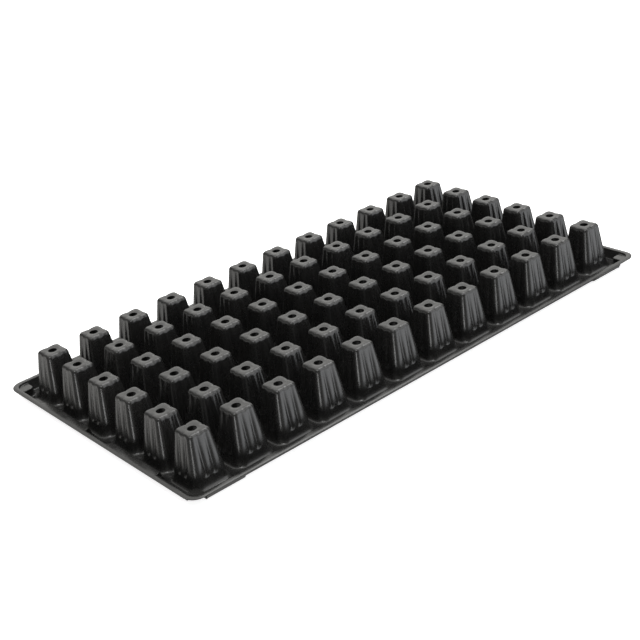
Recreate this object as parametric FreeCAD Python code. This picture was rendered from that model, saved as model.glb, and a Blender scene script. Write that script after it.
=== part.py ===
# Seventy-two cell plug tray, thermoformed from one sheet, standing face down with its cell bases up.
# Units are millimetres. +Z is up, +X runs along the long side, and the origin is the centre of the
# face that the tray stands on, which is the top face of the tray when it is in use.
# The sheet is laid out as flat convex slabs that meet face to face, so every wall keeps its own
# thin shape in a simulation and each cell stays hollow.
import FreeCAD, Part
import math
import os

V = FreeCAD.Vector

# ---- driving dimensions ----
GAUGE = 0.8                    # thickness of the formed sheet
COLUMNS = 12                   # cells along X
ROWS = 6                       # cells along Y
PITCH_X = 43.0                 # cell spacing along X
PITCH_Y = 42.5                 # cell spacing along Y
HEIGHT = 45.0                  # standing face to the cell bases

# One cell from its mouth to its base: half width and corner cut of the outer face at each level.
MOUTH_HALF = 20.4
MOUTH_CUT = 7.8
NECK_Z = 4.6
NECK_HALF = 17.2
NECK_CUT = 6.0
SHOULDER_Z = HEIGHT - GAUGE
SHOULDER_HALF = 10.7
SHOULDER_CUT = 3.0
BASE_CHAMFER = 0.7             # how far the base's upper edge is drawn in
HOLE_DIAMETER = 7.0            # drain hole in each base

# Rim.
FLANGE_HALF_X = 270.0          # outer edge of the flange
FLANGE_HALF_Y = 143.0
FLANGE_CORNER = 12.0
FLANGE_Z = 10.0                # upper face of the flange
SKIRT_TOP_X = 265.0            # outer face of the skirt where it meets the flange
SKIRT_TOP_Y = 138.0
SKIRT_TOP_CORNER = 8.0
SKIRT_FOOT_X = 263.9           # outer face of the skirt at the standing face
SKIRT_FOOT_Y = 135.5
RECESS_DEPTH = 4.6             # how far the end skirts step in between their pads
PAD_HALF = 17.0                # half length of the middle pad of an end skirt
END_PAD_START = 88.5           # where the outer pads of an end skirt begin
SIDE_RECESS = 1.6              # how far the long skirts step in between their two pads
SIDE_PAD_START = 215.0         # where the pads of a long skirt begin

# Raised steps at the four corners of the deck.
STEP_X = 253.0
STEP_Y = 125.5
STEP_Z = 8.0
STEP_CORNER = 4.5
ROUND_FACETS = 3               # flat facets that stand for each round corner of the rim

FIELD_X = COLUMNS * PITCH_X / 2    # half size of the field of cells
FIELD_Y = ROWS * PITCH_Y / 2

os.makedirs("parts", exist_ok=True)


def save(name, solids):
    """Write one node as a group of closed solids."""
    shape = Part.makeCompound(solids)
    assert shape.isValid(), name
    shape.exportStep("parts/" + name + ".step")
    print(name, len(solids), round(sum(s.Volume for s in solids), 1))


def slab(low, z0, high, z1):
    """A convex solid between two outlines of (x, y) points, the first at z0 and the second at z1."""
    bottom = [V(x, y, z0) for x, y in low]
    top = [V(x, y, z1) for x, y in high]
    faces = [Part.Face(Part.makePolygon(ring + ring[:1])) for ring in (bottom, top)]
    for n in range(len(low)):
        m = (n + 1) % len(low)
        side = [bottom[n], bottom[m], top[m], top[n], bottom[n]]
        faces.append(Part.Face(Part.makePolygon(side)))
    solid = Part.Solid(Part.makeShell(faces))
    if solid.Volume < 0:
        solid.reverse()
    return solid


def octagon(half, cut):
    """Corners of a square with its corners cut off, anticlockwise from the +X side."""
    a = half - cut
    first = [(half, -a), (half, a)]
    out = []
    for turn in range(4):
        c, s = ((1, 0), (0, 1), (-1, 0), (0, -1))[turn]
        out += [(x * c - y * s, x * s + y * c) for x, y in first]
    return out


def shrunk(half, cut):
    """The octagon one gauge inside, whose sides all lie one gauge from the outer ones."""
    return octagon(half - GAUGE, cut - GAUGE * (2 - 2 ** 0.5))


def band(low, z0, high, z1):
    """Eight slabs between two levels; low and high are the half width and corner cut of the outer face."""
    out_low, in_low = octagon(*low), shrunk(*low)
    out_high, in_high = octagon(*high), shrunk(*high)
    parts = []
    for n in range(8):
        m = (n + 1) % 8
        parts.append(slab([out_low[n], out_low[m], in_low[m], in_low[n]], z0,
                          [out_high[n], out_high[m], in_high[m], in_high[n]], z1))
    return parts


def cell_wall():
    """The flared foot, the tapered wall and the base round its drain hole."""
    mouth = (MOUTH_HALF, MOUTH_CUT)
    neck = (NECK_HALF, NECK_CUT)
    shoulder = (SHOULDER_HALF, SHOULDER_CUT)
    parts = band(mouth, GAUGE, neck, NECK_Z) + band(neck, NECK_Z, shoulder, SHOULDER_Z)
    under = octagon(SHOULDER_HALF, SHOULDER_CUT)
    hole_half = HOLE_DIAMETER / 2
    hole = octagon(hole_half, hole_half * (2 - 2 ** 0.5))
    t = BASE_CHAMFER / (SHOULDER_HALF - hole_half)
    over = [(x + (hx - x) * t, y + (hy - y) * t) for (x, y), (hx, hy) in zip(under, hole)]
    for n in range(8):
        m = (n + 1) % 8
        parts.append(slab([under[n], under[m], hole[m], hole[n]], SHOULDER_Z,
                          [over[n], over[m], hole[m], hole[n]], HEIGHT))
    return parts


def cell_deck(corner):
    """The deck round one cell: a strip on each side, and a corner piece between each two strips.

    corner is None, or the (x, y) place of a raised step seen from the cell's centre: the deck's
    corner piece there stops at the step's two walls.
    """
    mouth = shrunk(MOUTH_HALF, MOUTH_CUT)
    edge_x = PITCH_X / 2
    edge_y = PITCH_Y / 2
    parts = []
    for n in range(4):
        start, end = mouth[2 * n], mouth[2 * n + 1]
        follow = mouth[(2 * n + 2) % 8]
        strip = [start, end]
        if n % 2 == 0:
            side = math.copysign(edge_x, end[0])
            out_start, out_end = (side, start[1]), (side, end[1])
            out_follow = (follow[0], math.copysign(edge_y, follow[1]))
            tip = (side, out_follow[1])
        else:
            side = math.copysign(edge_y, end[1])
            out_start, out_end = (start[0], side), (end[0], side)
            out_follow = (math.copysign(edge_x, follow[0]), follow[1])
            tip = (out_follow[0], side)
        parts.append(slab([start, out_start, out_end, end], 0, [start, out_start, out_end, end], GAUGE))
        piece = [end, out_end, tip, out_follow, follow]
        if corner and corner[0] * tip[0] > 0 and corner[1] * tip[1] > 0:
            step_x, step_y = corner
            last_x, last_y = (tip[0], step_y), (step_x, tip[1])
            along_x, along_y = (out_end, out_follow) if n % 2 == 0 else (out_follow, out_end)
            from_x, from_y = (end, follow) if n % 2 == 0 else (follow, end)
            split = crossing(from_x, from_y, step_y)
            first = [from_x, along_x, last_x, split]
            second = [split, (step_x, step_y), last_y, along_y, from_y]
            parts.append(slab(first, 0, first, GAUGE))
            parts.append(slab(second, 0, second, GAUGE))
        else:
            parts.append(slab(piece, 0, piece, GAUGE))
    return parts


def crossing(a, b, y):
    """Where the line from a to b crosses the level y, kept between the two."""
    t = min(max((y - a[1]) / (b[1] - a[1]), 0.0), 1.0)
    return (a[0] + (b[0] - a[0]) * t, a[1] + (b[1] - a[1]) * t)


def prism_y(points, y0, y1):
    """A slab whose outline is given as (x, z) points, running along Y."""
    wire = Part.makePolygon([V(x, y0, z) for x, z in points + points[:1]])
    return Part.Face(wire).extrude(V(0, y1 - y0, 0))


def prism_x(points, x0, x1):
    """A slab whose outline is given as (y, z) points, running along X."""
    wire = Part.makePolygon([V(x0, y, z) for y, z in points + points[:1]])
    return Part.Face(wire).extrude(V(x1 - x0, 0, 0))


def lean(foot, top, z):
    """Outer face of a leaning skirt at level z."""
    return foot + (top - foot) * z / FLANGE_Z


def deck_outline(start, foot, top):
    """Margin of the deck from the cells to the inside of the skirt."""
    return [(start, 0), (foot - GAUGE, 0), (lean(foot, top, GAUGE) - GAUGE, GAUGE), (start, GAUGE)]


def skirt_outline(foot, top):
    return [(foot - GAUGE, 0), (foot, 0), (top, FLANGE_Z), (top - GAUGE, FLANGE_Z)]


def flange_outline(foot, top, edge):
    low = FLANGE_Z - GAUGE
    return [(lean(foot, top, low), low), (edge, low), (edge, FLANGE_Z), (top, FLANGE_Z)]


def turned(shape):
    """The same piece on the opposite side of the tray."""
    copy = shape.copy()
    copy.rotate(V(0, 0, 0), V(0, 0, 1), 180)
    return copy


def mirrored(shape, flip_x, flip_y):
    out = shape
    if flip_x:
        out = out.mirror(V(0, 0, 0), V(1, 0, 0))
    if flip_y:
        out = out.mirror(V(0, 0, 0), V(0, 1, 0))
    return out


# ---- the cells, one node for each column of six ----
wall_parts = cell_wall()
for column in range(COLUMNS):
    cells = []
    for row in range(ROWS):
        x = (column - (COLUMNS - 1) / 2) * PITCH_X
        y = (row - (ROWS - 1) / 2) * PITCH_Y
        step = None
        if column in (0, COLUMNS - 1) and row in (0, ROWS - 1):
            step = (math.copysign(STEP_X, x) - x, math.copysign(STEP_Y, y) - y)
        for piece in wall_parts + cell_deck(step):
            copy = piece.copy()
            copy.translate(V(x, y, 0))
            cells.append(copy)
    save("cell_row_%02d" % (column + 1), cells)

# ---- the four sides: deck margin, skirt and flange, with pads and recesses along them ----
def side_parts(prism, spans, start, foot, top, edge):
    """Slabs of one side, from its (from, to, recess) spans along the side."""
    deck, skirt, flange = [], [], []
    for a, b, depth in spans:
        deck.append(prism(deck_outline(start, foot - depth, top - depth), a, b))
        skirt.append(prism(skirt_outline(foot - depth, top - depth), a, b))
        flange.append(prism(flange_outline(foot - depth, top - depth, edge), a, b))
    for (_, end, before), (_, _, after) in zip(spans, spans[1:]):
        # The return wall stands inside its pad, from the recessed face out to the pad's own wall.
        a, b = (end - GAUGE, end) if before < after else (end, end + GAUGE)
        depth = max(before, after)
        outline = [(lean(foot, top, GAUGE) - depth, GAUGE), (lean(foot, top, GAUGE) - GAUGE, GAUGE),
                   (top - GAUGE, FLANGE_Z), (top - depth, FLANGE_Z)]
        skirt.append(prism(outline, a, b))
    return deck, skirt, flange


side_spans = [(-STEP_X, -SIDE_PAD_START, 0.0), (-SIDE_PAD_START, SIDE_PAD_START, SIDE_RECESS),
              (SIDE_PAD_START, STEP_X, 0.0)]
end_spans = [(-STEP_Y, -END_PAD_START, 0.0), (-END_PAD_START, -PAD_HALF, RECESS_DEPTH),
             (-PAD_HALF, PAD_HALF, 0.0), (PAD_HALF, END_PAD_START, RECESS_DEPTH),
             (END_PAD_START, STEP_Y, 0.0)]
back = side_parts(prism_x, side_spans, FIELD_Y, SKIRT_FOOT_Y, SKIRT_TOP_Y, FLANGE_HALF_Y)
right = side_parts(prism_y, end_spans, FIELD_X, SKIRT_FOOT_X, SKIRT_TOP_X, FLANGE_HALF_X)
for parts, name, opposite in ((back, "back", "front"), (right, "right", "left")):
    for region, solids in zip(("deck_margin_", "skirt_", "flange_"), parts):
        save(region + name, solids)
        save(region + opposite, [turned(solid) for solid in solids])


# ---- corners: a raised step inside, and the round corner of the flange outside ----
def arc_path(start, centre, radius, a0, a1, end):
    """A straight run to an arc of flat facets and a straight run on: (x, y) points."""
    points = [start]
    for n in range(ROUND_FACETS + 1):
        a = math.radians(a0 + (a1 - a0) * n / ROUND_FACETS)
        points.append((centre[0] + radius * math.cos(a), centre[1] + radius * math.sin(a)))
    return points + [end]


def strips(side_a, z0, side_b, end_a, z1, end_b):
    """Slabs between two paths at z0 and the matching paths at z1."""
    parts = []
    for n in range(len(side_a) - 1):
        low = [side_a[n], side_a[n + 1], side_b[n + 1], side_b[n]]
        high = [end_a[n], end_a[n + 1], end_b[n + 1], end_b[n]]
        parts.append(slab(low, z0, high, z1))
    return parts


def rim_path(line_x, line_y, radius):
    """The path of a rim line round the corner, from the end of the long side to that of the short one."""
    centre = (line_x - radius, line_y - radius)
    return arc_path((STEP_X, line_y), centre, radius, 90, 0, (line_x, STEP_Y))


def wall_path(inset, z):
    """The path of the step's inner wall at level z, ending on the lean of both skirts."""
    centre = (STEP_X + STEP_CORNER, STEP_Y + STEP_CORNER)
    start = (STEP_X + inset, lean(SKIRT_FOOT_Y, SKIRT_TOP_Y, z))
    end = (lean(SKIRT_FOOT_X, SKIRT_TOP_X, z), STEP_Y + inset)
    return arc_path(start, centre, STEP_CORNER - inset, 180, 270, end)


shelf_low = STEP_Z - GAUGE
flange_low = FLANGE_Z - GAUGE
flange_edge = rim_path(FLANGE_HALF_X, FLANGE_HALF_Y, FLANGE_CORNER)
skirt_line = rim_path(SKIRT_TOP_X, SKIRT_TOP_Y, SKIRT_TOP_CORNER)
skirt_inner = rim_path(SKIRT_TOP_X - GAUGE, SKIRT_TOP_Y - GAUGE, SKIRT_TOP_CORNER - GAUGE)
shelf_edge = wall_path(0.0, shelf_low)
flange_corner = strips(skirt_line, flange_low, flange_edge, skirt_line, FLANGE_Z, flange_edge)
inner_wall = strips(wall_path(0.0, 0.0), 0.0, wall_path(GAUGE, 0.0),
                    shelf_edge, shelf_low, wall_path(GAUGE, shelf_low))
shelf = strips(shelf_edge, shelf_low, skirt_line, shelf_edge, STEP_Z, skirt_line)
upstand = strips(skirt_inner, STEP_Z, skirt_line, skirt_inner, FLANGE_Z, skirt_line)
corner_step = inner_wall + shelf + upstand

for name, flip_x, flip_y in (("back_right", False, False), ("back_left", True, False),
                             ("front_right", False, True), ("front_left", True, True)):
    save("corner_step_" + name, [mirrored(s, flip_x, flip_y) for s in corner_step])
    save("flange_corner_" + name, [mirrored(s, flip_x, flip_y) for s in flange_corner])
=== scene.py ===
"""Seventy-two cell plug tray of formed black polystyrene, lying face down: visual model and studio."""

import math

import bpy
import numpy as np
from mathutils import Matrix, Vector


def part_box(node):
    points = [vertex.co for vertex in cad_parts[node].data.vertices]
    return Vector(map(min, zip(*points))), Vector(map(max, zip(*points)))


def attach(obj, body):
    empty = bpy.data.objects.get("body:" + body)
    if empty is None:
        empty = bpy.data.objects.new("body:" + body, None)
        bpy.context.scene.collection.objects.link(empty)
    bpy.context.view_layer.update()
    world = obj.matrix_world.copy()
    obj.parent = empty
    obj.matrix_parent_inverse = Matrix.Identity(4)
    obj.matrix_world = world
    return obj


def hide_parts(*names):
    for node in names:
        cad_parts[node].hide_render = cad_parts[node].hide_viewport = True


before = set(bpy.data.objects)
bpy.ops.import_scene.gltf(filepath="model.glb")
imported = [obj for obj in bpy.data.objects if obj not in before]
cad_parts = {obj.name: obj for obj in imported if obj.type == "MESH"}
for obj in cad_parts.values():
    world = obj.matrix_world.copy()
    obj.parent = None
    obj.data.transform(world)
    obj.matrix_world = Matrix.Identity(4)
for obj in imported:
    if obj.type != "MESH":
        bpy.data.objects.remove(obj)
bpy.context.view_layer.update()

MM = 0.001
GAUGE = 0.8                     # sheet thickness, mm; every length below is in mm unless it says so

# ---- sizes read from the frame ----
COLUMNS = sum(1 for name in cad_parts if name.startswith("cell_row_"))
ROWS = 6


def box_mm(node):
    """Lowest and highest corner of a CAD node in mm."""
    low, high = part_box(node)
    return [v / MM for v in low], [v / MM for v in high]


first_low, first_high = box_mm("cell_row_02")
PITCH_X = first_high[0] - first_low[0]
PITCH_Y = (first_high[1] - first_low[1]) / ROWS
HEIGHT = first_high[2]
FIELD_X = COLUMNS * PITCH_X / 2
FIELD_Y = ROWS * PITCH_Y / 2
FLANGE_X = box_mm("flange_right")[1][0]
FLANGE_Y = box_mm("flange_back")[1][1]
FLANGE_Z = box_mm("flange_back")[1][2]
STEP_X = box_mm("flange_back")[1][0]
STEP_Y = box_mm("flange_right")[1][1]
SKIRT_TOP_Y = box_mm("skirt_back")[1][1]
SKIRT_TOP_X = box_mm("skirt_right")[1][0]

# ---- the forming tool's shape ----
HOLE_R = 3.9
SKIRT_FOOT_X = SKIRT_TOP_X - 1.1
SKIRT_FOOT_Y = SKIRT_TOP_Y - 2.5
END_RECESS = 4.6                # how far the skirts stand in between their pads
PAD_HALF = 17.0
END_PAD = 88.5
SIDE_RECESS = 1.6
SIDE_PAD = 215.0
STEP_Z = 8.0
FLANGE_CORNER = 12.0
SKIRT_CORNER = 8.0
STEP_CORNER = 4.5


def smooth(a, b, x):
    """Smooth step from 0 at a to 1 at b."""
    t = min(max((x - a) / (b - a), 0.0), 1.0)
    return t * t * (3 - 2 * t)


def sheet(name, verts, quads):
    """A formed sheet as a closed mesh: verts are its upper face in mm, and its thickness lies below."""
    verts = np.round(np.array(verts, float), 4)
    upper, index = np.unique(verts, axis=0, return_inverse=True)
    quads = index.reshape(-1)[np.array(quads)]
    p = upper[quads]
    spans = np.cross(p[:, 2] - p[:, 0], p[:, 3] - p[:, 1])
    normal = np.zeros_like(upper)
    for corner in range(4):
        np.add.at(normal, quads[:, corner], spans)
    normal /= np.maximum(np.linalg.norm(normal, axis=1), 1e-12)[:, None]
    lower = upper - normal * GAUGE
    count = len(upper)
    faces = []
    for quad in quads.tolist():
        ring = [v for n, v in enumerate(quad) if v != quad[n - 1]]
        if len(ring) > 2:
            faces.append(tuple(ring))
    sides = set()
    for face in faces:
        sides.update(zip(face, face[1:] + face[:1]))
    closed = faces + [tuple(v + count for v in reversed(face)) for face in faces]
    closed += [(j, i, i + count, j + count) for i, j in sorted(sides) if (j, i) not in sides]
    mesh = bpy.data.meshes.new(name)
    mesh.from_pydata((np.vstack([upper, lower]) * MM).tolist(), [], closed)
    mesh.update()
    mesh.polygons.foreach_set("use_smooth", [True] * len(closed))
    mesh.set_sharp_from_angle(angle=math.radians(50))
    obj = bpy.data.objects.new(name, mesh)
    bpy.context.scene.collection.objects.link(obj)
    return obj


def grid_faces(rows, cols, closed, base=0):
    """Quads between consecutive rows of points."""
    out = []
    span = cols if closed else cols - 1
    for r in range(rows - 1):
        for c in range(span):
            a = base + r * cols + c
            b = base + r * cols + (c + 1) % cols
            out.append((a, b, b + cols, a + cols))
    return out


# ---- one cell ----
# Wall levels, from the deck up: level, half width, corner radius.
WALL = [(GAUGE, 20.6, 10.8), (GAUGE + 0.25, 19.6, 10.0), (GAUGE + 0.9, 18.75, 9.4),
        (GAUGE + 2.1, 17.9, 8.6), (GAUGE + 4.2, 17.1, 8.0), (8.0, 16.45, 7.5)]
WALL_STATIONS = [8.7, 9.3, 9.9, 10.5, 11.2, 12.6, 15.0, 19.0, 24.0, 30.0, 36.0, 40.5]
TOP_HALF = 11.2                 # half width where the wall meets the base's round edge
TOP_CORNER = 4.8
EDGE_R = 3.3                    # round edge between wall and base
GROOVE_U = 4.0                  # the two grooves of a wall, from its middle
GROOVE_W = 1.4
GROOVE_LOW = 9.6                # level where the grooves end
GROOVE_FADE = (-1.0, 1.4)       # the grooves fade out from below to above that level by this much
GROOVE_DEPTH = (0.45, 1.10)     # depth at the shoulder and further down
GROOVE_DEEP = (2.0, 24.0)       # distances below the base between which the depth grows
GROOVE_SHARE, RIB_SHARE = 0.65, 0.4             # how much of the depth is groove and how much soft rib
PLAIN_FOOT = 7.5                # no grooves up to this level
VALLEY = 0.55                   # depth of the drainage valleys at the base's edge
VALLEY_HALF = 2.1               # their half width
VALLEY_REACH = (5.6, 9.6)       # they rise from nothing to their full depth between these distances out
DISH = 0.4                      # how far the base sinks towards the hole
DISH_REACH = (7.0, 3.9)
BASE_ZONE = (6.0, 0.6)          # valleys and dish fade in between these distances below the base
BASE_RINGS = (0.22, 0.45, 0.66, 0.82, 0.93, 1.0)
EDGE_STEPS = 6

HALF_SIDE = [0.0, 1.0, 1.9, 2.7, 3.3, 3.8, 4.2, 4.7, 5.4, 6.3]     # lateral stations of the flat of a wall
CORNER_STEPS = 9


def outline(half, corner):
    """Points round a rounded square, the same number for every size, with outward directions."""
    quarter = []
    rest_flat = half - corner - HALF_SIDE[-1]
    arc = corner * math.pi / 4
    for u in HALF_SIDE:
        quarter.append((u, half, 0.0))
    for n in range(1, CORNER_STEPS + 1):
        s = n / CORNER_STEPS * (rest_flat + arc)
        if s <= rest_flat:
            quarter.append((HALF_SIDE[-1] + s, half, 0.0))
        else:
            a = (s - rest_flat) / corner
            quarter.append((half - corner + corner * math.sin(a), half - corner + corner * math.cos(a), a))
    side = [(-u, v, -a) for u, v, a in reversed(quarter[1:-1])] + quarter
    ring = []
    for turn in range(4):
        c, s = [(1, 0), (0, 1), (-1, 0), (0, -1)][turn]
        for u, v, a in side:
            # side 0 faces +Y; each turn is a quarter turn clockwise seen from above
            x, y = u * c + v * s, -u * s + v * c
            nx, ny = math.sin(a), math.cos(a)
            ring.append((x, y, nx * c + ny * s, -nx * s + ny * c, u))
    return ring


def groove(u, z):
    """Depth of the wall's grooves at lateral place u and level z."""
    fade = smooth(GROOVE_LOW + GROOVE_FADE[0], GROOVE_LOW + GROOVE_FADE[1], z)
    deep = smooth(HEIGHT - GROOVE_DEEP[0], HEIGHT - GROOVE_DEEP[1], z)
    depth = (GROOVE_DEPTH[0] + (GROOVE_DEPTH[1] - GROOVE_DEPTH[0]) * deep) * fade
    off = abs(u) - GROOVE_U
    ribs = (1 - math.cos(math.pi * u / GROOVE_U)) / 2 if abs(u) < 2 * GROOVE_U else 0.0
    return depth * (GROOVE_SHARE * math.exp(-(off / GROOVE_W) ** 2) + RIB_SHARE * ribs)


def cell_rings():
    """The rings of one cell, from the tile's edge to the drain hole."""
    rings = []
    # tile edge, on the pitch lines
    ring = outline(WALL[0][1], WALL[0][2])
    edge = []
    for x, y, nx, ny, u in ring:
        k = max(abs(x) / (PITCH_X / 2), abs(y) / (PITCH_Y / 2))
        edge.append((x / k, y / k, GAUGE))
    rings.append(edge)
    shoulder_z = HEIGHT - EDGE_R
    levels = list(WALL)
    low_z, low_half, low_corner = WALL[-1]
    for z in WALL_STATIONS + [shoulder_z]:
        t = (z - low_z) / (shoulder_z - low_z)
        levels.append((z, low_half + (TOP_HALF - low_half) * t, low_corner + (TOP_CORNER - low_corner) * t))
    for z, half, corner in levels:
        row = []
        for x, y, nx, ny, u in outline(half, corner):
            g = groove(u, z) if z > PLAIN_FOOT else 0.0
            row.append((x - nx * g, y - ny * g, z))
        rings.append(row)
    # round edge and base
    for n in range(1, EDGE_STEPS + 1):
        a = n / EDGE_STEPS * math.pi / 2
        inset = EDGE_R * (1 - math.cos(a))
        row = []
        for x, y, nx, ny, u in outline(TOP_HALF, TOP_CORNER):
            g = groove(u, shoulder_z) * math.cos(a) ** 2
            px, py = x - nx * (inset + g), y - ny * (inset + g)
            row.append((px, py, shoulder_z + EDGE_R * math.sin(a)))
        rings.append(row)
    rim = rings[-1]
    for t in BASE_RINGS:
        row = []
        for x, y, z in rim:
            r = math.hypot(x, y)
            k = (r + (HOLE_R - r) * t) / r
            row.append((x * k, y * k, HEIGHT))
        rings.append(row)
    # drainage valleys, and the slight dish towards the hole
    out = []
    for row in rings:
        new = []
        for x, y, z in row:
            if z > HEIGHT - BASE_ZONE[0]:
                near = min(abs(x), abs(y))
                far = max(abs(x), abs(y))
                cut = math.exp(-(near / VALLEY_HALF) ** 2) * VALLEY * smooth(*VALLEY_REACH, far)
                dish = DISH * smooth(*DISH_REACH, math.hypot(x, y))
                z = z - (cut + dish) * smooth(HEIGHT - BASE_ZONE[0], HEIGHT - BASE_ZONE[1], z)
            new.append((x, y, z))
        out.append(new)
    return out


RINGS = cell_rings()
RING_N = len(RINGS[0])


NOTCH = 1.6                     # the round foot of a raised corner's wall reaches this far into the deck


def in_corner(x, y):
    """Whether a place on the deck lies under a raised corner or its round foot."""
    x, y = abs(x), abs(y)
    cx, cy, r = STEP_X + STEP_CORNER, STEP_Y + STEP_CORNER, STEP_CORNER + NOTCH
    if x >= cx or y >= cy:
        return x > cx - r and y > cy - r
    return math.hypot(x - cx, y - cy) < r


def trimmed(ring, wall, cx, cy):
    """The tile's edge, drawn back towards the cell where it would run under a raised corner."""
    out = []
    for (x, y, z), (wx, wy, wz) in zip(ring, wall):
        low, high = 0.0, 1.0
        if in_corner(cx + x, cy + y):
            for _ in range(24):
                mid = (low + high) / 2
                if in_corner(cx + wx + (x - wx) * mid, cy + wy + (y - wy) * mid):
                    high = mid
                else:
                    low = mid
            x, y = wx + (x - wx) * low, wy + (y - wy) * low
        out.append((x, y, z))
    return out


def formed_column(index):
    """The six cells of one column as one formed piece."""
    verts, faces = [], []
    cx = (index - (COLUMNS - 1) / 2) * PITCH_X
    for row in range(ROWS):
        cy = (row - (ROWS - 1) / 2) * PITCH_Y
        base = len(verts)
        edge = trimmed(RINGS[0], RINGS[1], cx, cy)
        for ring in [edge] + RINGS[1:]:
            verts += [(cx + x, cy + y, z) for x, y, z in ring]
        faces += [face[::-1] for face in grid_faces(len(RINGS), RING_N, True, base)]
    return sheet("formed_cells_%02d" % (index + 1), verts, faces)


# ---- the rim's section ----
# The flange droops a little over its outer 2 mm: outward from the edge, level.
FLANGE_EDGE = [(-3.4, FLANGE_Z), (-2.6, FLANGE_Z - 0.04), (-1.9, FLANGE_Z - 0.12), (-1.2, FLANGE_Z - 0.24),
               (-0.5, FLANGE_Z - 0.4), (0.0, FLANGE_Z - 0.5)]
FOOT_ROUND = 1.3
TOP_ROUND = 1.1
SKIRT_LEAN = math.radians(68)   # slope that the rounds at the skirt's foot and top turn through


def rim_section(foot, top, edge, start):
    """Section of the rim from the field of cells to the turned-down edge: outward, level."""
    lean = (top - foot) / FLANGE_Z
    inner_foot = foot - GAUGE * (1 - lean)
    pts = [(start, GAUGE)]
    for n in range(6):
        a = n / 5 * SKIRT_LEAN
        pts.append((inner_foot - FOOT_ROUND * (0.9 - math.sin(a)), GAUGE + FOOT_ROUND * (1 - math.cos(a))))
    for n in range(6):
        a = SKIRT_LEAN * (1 - n / 5)
        pts.append((top + 0.1 + TOP_ROUND * (1 - math.sin(a)), FLANGE_Z - TOP_ROUND * (1 - math.cos(a))))
    return pts + [(edge + off, z) for off, z in FLANGE_EDGE]


def foot_trim(z):
    """How far the rim's end stands back at level z from the round foot of the corner's wall."""
    table = sorted((level, off) for off, level in WALL_ROUND if off <= 0)
    if z >= table[-1][0]:
        return 0.0
    for (z0, o0), (z1, o1) in zip(table, table[1:]):
        if z <= z1:
            return o0 + (o1 - o0) * (z - z0) / (z1 - z0) if z > z0 else o0
    return 0.0


PAD_BLEND = 1.3                 # half length of the round step between a pad and its recess


def end_recess(y):
    """How far an end skirt stands in at place y along it."""
    a = abs(y)
    past = smooth(PAD_HALF - PAD_BLEND, PAD_HALF + PAD_BLEND, a)
    return END_RECESS * past * (1 - smooth(END_PAD - PAD_BLEND, END_PAD + PAD_BLEND, a))


def side_recess(x):
    """How far a long skirt stands in at place x along it."""
    return SIDE_RECESS * (1 - smooth(SIDE_PAD - PAD_BLEND, SIDE_PAD + PAD_BLEND, abs(x)))


def along(stops, counts):
    """Stations from minus the last stop to the last stop, close together where the skirt steps."""
    half = []
    for a, b, n in zip(stops, stops[1:], counts):
        half += [a + (b - a) * k / n for k in range(n)]
    half.append(stops[-1])
    return [-v for v in reversed(half[1:])] + half


def straight_rim(name, stations, recess, foot, top, edge, start, place):
    """One side of the rim; place turns (along, outward) into (x, y)."""
    reach = stations[-1]
    sections = [rim_section(foot - recess(v), top - recess(v), edge, start) for v in stations]
    verts = []
    for k in range(len(sections[0])):
        scale = (reach + foot_trim(sections[0][k][1])) / reach
        verts += [place(v * scale, s[k][0]) + (s[k][1],) for v, s in zip(stations, sections)]
    return sheet(name, verts, grid_faces(len(sections[0]), len(stations), False))


# ---- corners ----
# Section of the wall round a raised corner, from its top to its foot: outward from the wall's face, level.
WALL_ROUND = [(0.95, STEP_Z), (0.5, STEP_Z - 0.12), (0.15, STEP_Z - 0.5), (0.0, STEP_Z - 1.1),
              (-0.35, 3.0), (-0.55, GAUGE + 0.9), (-0.85, GAUGE + 0.3), (-1.6, GAUGE)]
# Section from the raised corner's top up to the flange: outward from the skirt's top line, level.
UPSTAND = [(-0.9, STEP_Z), (-0.55, STEP_Z + 0.1), (-0.3, STEP_Z + 0.45), (-0.1, STEP_Z + 1.0),
           (0.1, FLANGE_Z - 0.45), (0.4, FLANGE_Z - 0.12), (0.9, FLANGE_Z)]
CORNER_STATIONS = 25


def bend(start, corner, end, radius, stations):
    """Points along two straight runs, parallel to the axes, joined by a round of the given radius."""
    (x0, y0), (x1, y1) = start, end
    cx, cy = corner
    d1 = (math.copysign(1, cx - x0) if abs(cx - x0) > 1e-9 else 0.0,
          math.copysign(1, cy - y0) if abs(cy - y0) > 1e-9 else 0.0)
    d2 = (math.copysign(1, x1 - cx) if abs(x1 - cx) > 1e-9 else 0.0,
          math.copysign(1, y1 - cy) if abs(y1 - cy) > 1e-9 else 0.0)
    run1 = abs(cx - x0) + abs(cy - y0) - radius
    run2 = abs(x1 - cx) + abs(y1 - cy) - radius
    arc = radius * math.pi / 2
    out = []
    for n in range(stations):
        s = (run1 + arc + run2) * n / (stations - 1)
        if s <= run1:
            out.append((x0 + d1[0] * s, y0 + d1[1] * s))
        elif s >= run1 + arc:
            t = run1 + arc + run2 - s
            out.append((x1 - d2[0] * t, y1 - d2[1] * t))
        else:
            a = (s - run1) / radius
            bx, by = cx - d1[0] * radius, cy - d1[1] * radius
            out.append((bx + radius * (d1[0] * math.sin(a) + d2[0] * (1 - math.cos(a))),
                        by + radius * (d1[1] * math.sin(a) + d2[1] * (1 - math.cos(a)))))
    return out


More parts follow.
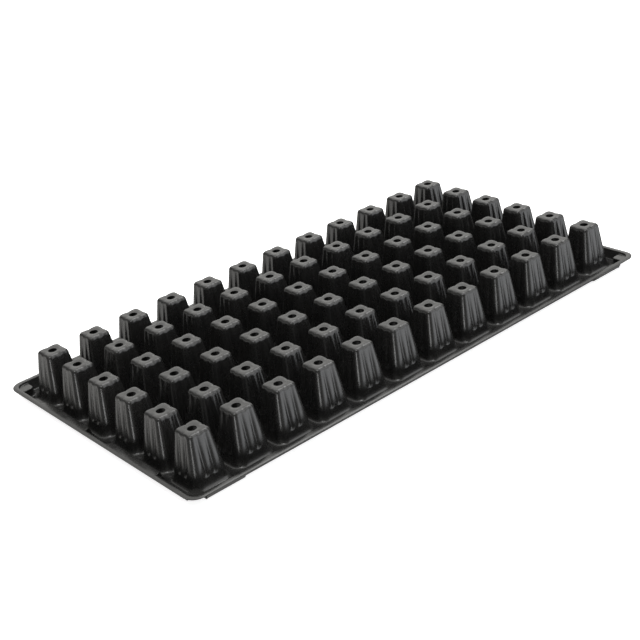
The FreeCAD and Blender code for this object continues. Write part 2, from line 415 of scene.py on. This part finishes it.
def corner_rim(name, sx, sy):
    """Raised corner of the deck, the wall round it, and the round corner of the flange."""
    rows = []
    for off, z in reversed(WALL_ROUND):
        end_y = SKIRT_FOOT_Y + (SKIRT_TOP_Y - SKIRT_FOOT_Y) * z / FLANGE_Z - GAUGE * 0.8
        end_x = SKIRT_FOOT_X + (SKIRT_TOP_X - SKIRT_FOOT_X) * z / FLANGE_Z - GAUGE * 0.8
        x, y = STEP_X + off, STEP_Y + off
        path = bend((x, end_y), (x, y), (end_x, y), STEP_CORNER - off, CORNER_STATIONS)
        rows.append([(px, py, z) for px, py in path])
    inner = rows[-1]

    def outer_row(line_x, line_y, radius, off, z):
        x, y = line_x + off, line_y + off
        path = bend((STEP_X, y), (x, y), (x, STEP_Y), radius + off, CORNER_STATIONS)
        return [(px, py, z) for px, py in path]

    first = outer_row(SKIRT_TOP_X, SKIRT_TOP_Y, SKIRT_CORNER, *UPSTAND[0])
    for t in (0.25, 0.5, 0.75):
        rows.append([tuple(p + (q - p) * t for p, q in zip(a, b)) for a, b in zip(inner, first)])
    for off, z in UPSTAND:
        rows.append(outer_row(SKIRT_TOP_X, SKIRT_TOP_Y, SKIRT_CORNER, off, z))
    for off, z in FLANGE_EDGE:
        rows.append(outer_row(FLANGE_X, FLANGE_Y, FLANGE_CORNER, off, z))
    verts = [(x * sx, y * sy, z) for row in rows for x, y, z in row]
    faces = grid_faces(len(rows), CORNER_STATIONS, False)
    if sx * sy < 0:
        faces = [face[::-1] for face in faces]
    return sheet(name, verts, faces)


# ---- material ----
def black_polystyrene():
    mat = bpy.data.materials.new("black_polystyrene")
    mat.use_nodes = True
    nt = mat.node_tree
    bsdf = nt.nodes["Principled BSDF"]
    coord = nt.nodes.new("ShaderNodeTexCoord")

    def noise(scale, detail, rough):
        n = nt.nodes.new("ShaderNodeTexNoise")
        n.inputs["Scale"].default_value = scale
        n.inputs["Detail"].default_value = detail
        n.inputs["Roughness"].default_value = rough
        nt.links.new(coord.outputs["Object"], n.inputs["Vector"])
        return n.outputs["Fac"]

    def ramp(fac, low, high, a, b):
        r = nt.nodes.new("ShaderNodeValToRGB")
        r.color_ramp.elements[0].position = low
        r.color_ramp.elements[1].position = high
        r.color_ramp.elements[0].color = (*a, 1)
        r.color_ramp.elements[1].color = (*b, 1)
        nt.links.new(fac, r.inputs["Fac"])
        return r.outputs["Color"]

    mottle = noise(60.0, 4.0, 0.6)
    tone = ramp(mottle, 0.35, 0.7, (0.0120, 0.0120, 0.0118), (0.0200, 0.0194, 0.0188))
    nt.links.new(tone, bsdf.inputs["Base Color"])
    haze = noise(110.0, 5.0, 0.65)
    sheen = ramp(haze, 0.3, 0.75, (0.20, 0.20, 0.20), (0.32, 0.32, 0.32))
    nt.links.new(sheen, bsdf.inputs["Roughness"])
    fine = noise(900.0, 3.0, 0.6)
    wave = noise(90.0, 2.0, 0.5)
    unevenness = nt.nodes.new("ShaderNodeBump")
    unevenness.inputs["Strength"].default_value = 0.06
    unevenness.inputs["Distance"].default_value = 0.0004
    nt.links.new(wave, unevenness.inputs["Height"])
    grain = nt.nodes.new("ShaderNodeBump")
    grain.inputs["Strength"].default_value = 0.08
    grain.inputs["Distance"].default_value = 0.00008
    nt.links.new(fine, grain.inputs["Height"])
    nt.links.new(unevenness.outputs["Normal"], grain.inputs["Normal"])
    nt.links.new(grain.outputs["Normal"], bsdf.inputs["Normal"])
    bsdf.inputs["IOR"].default_value = 1.59
    return mat


plastic = black_polystyrene()


def finish_piece(piece, *nodes):
    piece.data.materials.clear()
    piece.data.materials.append(plastic)
    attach(piece, "root")
    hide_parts(*nodes)


for index in range(COLUMNS):
    finish_piece(formed_column(index), "cell_row_%02d" % (index + 1))

long_stations = along([0.0, SIDE_PAD - PAD_BLEND, SIDE_PAD + PAD_BLEND, STEP_X], [24, 8, 8])
end_stations = along([0.0, PAD_HALF - PAD_BLEND, PAD_HALF + PAD_BLEND, END_PAD - PAD_BLEND,
                      END_PAD + PAD_BLEND, STEP_Y], [5, 8, 14, 8, 8])
SIDES = [("back", lambda v, out: (v, out)), ("front", lambda v, out: (-v, -out)),
         ("right", lambda v, out: (out, -v)), ("left", lambda v, out: (-out, v))]
for side, place in SIDES:
    if side in ("back", "front"):
        piece = straight_rim("formed_rim_" + side, long_stations, side_recess, SKIRT_FOOT_Y, SKIRT_TOP_Y,
                             FLANGE_Y, FIELD_Y, place)
    else:
        piece = straight_rim("formed_rim_" + side, end_stations, end_recess, SKIRT_FOOT_X, SKIRT_TOP_X,
                             FLANGE_X, FIELD_X, place)
    finish_piece(piece, "deck_margin_" + side, "skirt_" + side, "flange_" + side)
CORNERS = [("back_right", 1, 1), ("back_left", -1, 1), ("front_right", 1, -1), ("front_left", -1, -1)]
for side, sx, sy in CORNERS:
    finish_piece(corner_rim("formed_corner_" + side, sx, sy), "corner_step_" + side, "flange_corner_" + side)

# ---- studio ----
floor_mesh = bpy.data.meshes.new("floor")
REACH = 6.0                     # half size of the table, m
FLOOR_GLOW = 0.85
DARK_INSET = 4.0                # the table's dark middle ends this far inside the raised corners
floor_mesh.from_pydata([(-REACH, -REACH, 0), (REACH, -REACH, 0), (REACH, REACH, 0), (-REACH, REACH, 0)],
                       [], [(0, 1, 2, 3)])
floor = bpy.data.objects.new("floor", floor_mesh)
floor.location.z = -0.05 * MM    # just clear of the deck's lower face
bpy.context.scene.collection.objects.link(floor)
floor_mat = bpy.data.materials.new("floor_white")
floor_mat.use_nodes = True
floor_bsdf = floor_mat.node_tree.nodes["Principled BSDF"]
floor_bsdf.inputs["Base Color"].default_value = (0.9, 0.9, 0.9, 1)
floor_bsdf.inputs["Roughness"].default_value = 0.9
floor_bsdf.inputs["Specular IOR Level"].default_value = 0.1
floor_bsdf.inputs["Emission Color"].default_value = (1, 1, 1, 1)
# The table glows a little, which keeps shadows pale, but not under the tray, where no light gets.
ft = floor_mat.node_tree
here = ft.nodes.new("ShaderNodeTexCoord")
axes = ft.nodes.new("ShaderNodeSeparateXYZ")
ft.links.new(here.outputs["Object"], axes.inputs["Vector"])


def beyond(axis, limit):
    """1 where the floor lies further than limit (metres) from the middle along an axis, and else 0."""
    size = ft.nodes.new("ShaderNodeMath")
    size.operation = "ABSOLUTE"
    ft.links.new(axes.outputs[axis], size.inputs[0])
    test = ft.nodes.new("ShaderNodeMath")
    test.operation = "GREATER_THAN"
    test.inputs[1].default_value = limit
    ft.links.new(size.outputs[0], test.inputs[0])
    return test.outputs[0]


either = ft.nodes.new("ShaderNodeMath")
either.operation = "MAXIMUM"
ft.links.new(beyond("X", (STEP_X - DARK_INSET) * MM), either.inputs[0])
ft.links.new(beyond("Y", (STEP_Y - DARK_INSET) * MM), either.inputs[1])
glow = ft.nodes.new("ShaderNodeMath")
glow.operation = "MULTIPLY"
glow.inputs[1].default_value = FLOOR_GLOW
ft.links.new(either.outputs[0], glow.inputs[0])
ft.links.new(glow.outputs[0], floor_bsdf.inputs["Emission Strength"])
floor_mesh.materials.append(floor_mat)
floor.visible_glossy = False    # the plastic mirrors the room below instead, which has the table in it

# The room round the table: a dim grey with soft panels of light. A panel is a direction, the angle
# from its middle to its faded edge, its radiance and its tint.
PANELS = [((0.55, -0.81, -0.10), 40, 1.9, (0.95, 0.97, 1.0)),
          ((-0.66, 0.71, -0.18), 34, 0.9, (1.0, 0.98, 0.95)),
          ((-0.78, -0.62, -0.12), 10, 6.0, (1.0, 1.0, 1.0)),
          ((0.55, 0.71, 0.44), 42, 1.05, (1.0, 0.99, 0.96)),
          ((-0.28, -0.26, 0.92), 13, 7.0, (1.0, 1.0, 1.0)),
          ((0.50, 0.25, 0.83), 15, 5.0, (1.0, 1.0, 1.0)),
          ((0.55, -0.45, 0.70), 30, 1.8, (1.0, 1.0, 1.0)),
          ((0.10, 0.20, 0.97), 45, 0.95, (1.0, 0.99, 0.97)),
          ((0.0, 0.0, -1.0), 75, 0.30, (1.0, 1.0, 1.0))]
ROOM = (0.235, 0.235, 0.225)

world = bpy.data.worlds.new("studio")
bpy.context.scene.world = world
world.use_nodes = True
wt = world.node_tree
direction = wt.nodes.new("ShaderNodeTexCoord")
total = None
for way, spread, radiance, tint in PANELS:
    facing = wt.nodes.new("ShaderNodeVectorMath")
    facing.operation = "DOT_PRODUCT"
    facing.inputs[1].default_value = Vector(way).normalized()
    wt.links.new(direction.outputs["Generated"], facing.inputs[0])
    fade = wt.nodes.new("ShaderNodeMapRange")
    fade.interpolation_type = "SMOOTHSTEP"
    fade.inputs["From Min"].default_value = math.cos(math.radians(spread))
    fade.inputs["From Max"].default_value = 1.0
    wt.links.new(facing.outputs["Value"], fade.inputs["Value"])
    panel = wt.nodes.new("ShaderNodeVectorMath")
    panel.operation = "MULTIPLY_ADD"
    panel.inputs[1].default_value = [radiance * c for c in tint]
    panel.inputs[2].default_value = ROOM
    wt.links.new(fade.outputs["Result"], panel.inputs[0])
    if total is not None:
        wt.links.new(total, panel.inputs[2])
    total = panel.outputs["Vector"]
wt.links.new(total, wt.nodes["Background"].inputs["Color"])
wt.nodes["Background"].inputs["Strength"].default_value = 1.0

# ---- camera at the viewing angle ----
AZIMUTH, ELEVATION, ROLL = (math.radians(v) for v in (-37.47, 26.10, -7.68))
LENS = 70.695                   # focal length in mm on a 36 mm wide sensor
SENSOR_WIDTH = 36.0
SHIFT_X, SHIFT_Y = 0.00984, 0.00328
HOLE_PLANE = HEIGHT - 0.9
TO_TRAY = Vector((15.475, -34.382, 1165.88))    # camera to the middle of the hole plane: right, down, ahead

back = Vector((math.sin(AZIMUTH) * math.cos(ELEVATION), -math.cos(AZIMUTH) * math.cos(ELEVATION),
               math.sin(ELEVATION)))
right = (-back).cross(Vector((0, 0, 1))).normalized()
up = right.cross(-back)
# image axes after the roll: right and down
img_right = right * math.cos(ROLL) + up * math.sin(ROLL)
img_down = right * math.sin(ROLL) - up * math.cos(ROLL)
look = -back
stand = -(img_right * TO_TRAY.x + img_down * TO_TRAY.y + look * TO_TRAY.z)
stand.z += HOLE_PLANE
cam_data = bpy.data.cameras.new("camera")
cam = bpy.data.objects.new("camera", cam_data)
bpy.context.scene.collection.objects.link(cam)
rot = Matrix((img_right, -img_down, -look)).transposed()
cam.matrix_world = Matrix.Translation(stand * MM) @ rot.to_4x4()
cam_data.sensor_width = SENSOR_WIDTH
cam_data.sensor_fit = "HORIZONTAL"
cam_data.lens = LENS
cam_data.shift_x = SHIFT_X
cam_data.shift_y = SHIFT_Y
cam_data.clip_start = 0.01
cam_data.clip_end = 50.0
bpy.context.scene.camera = cam
bpy.context.scene.view_settings.view_transform = "Standard"
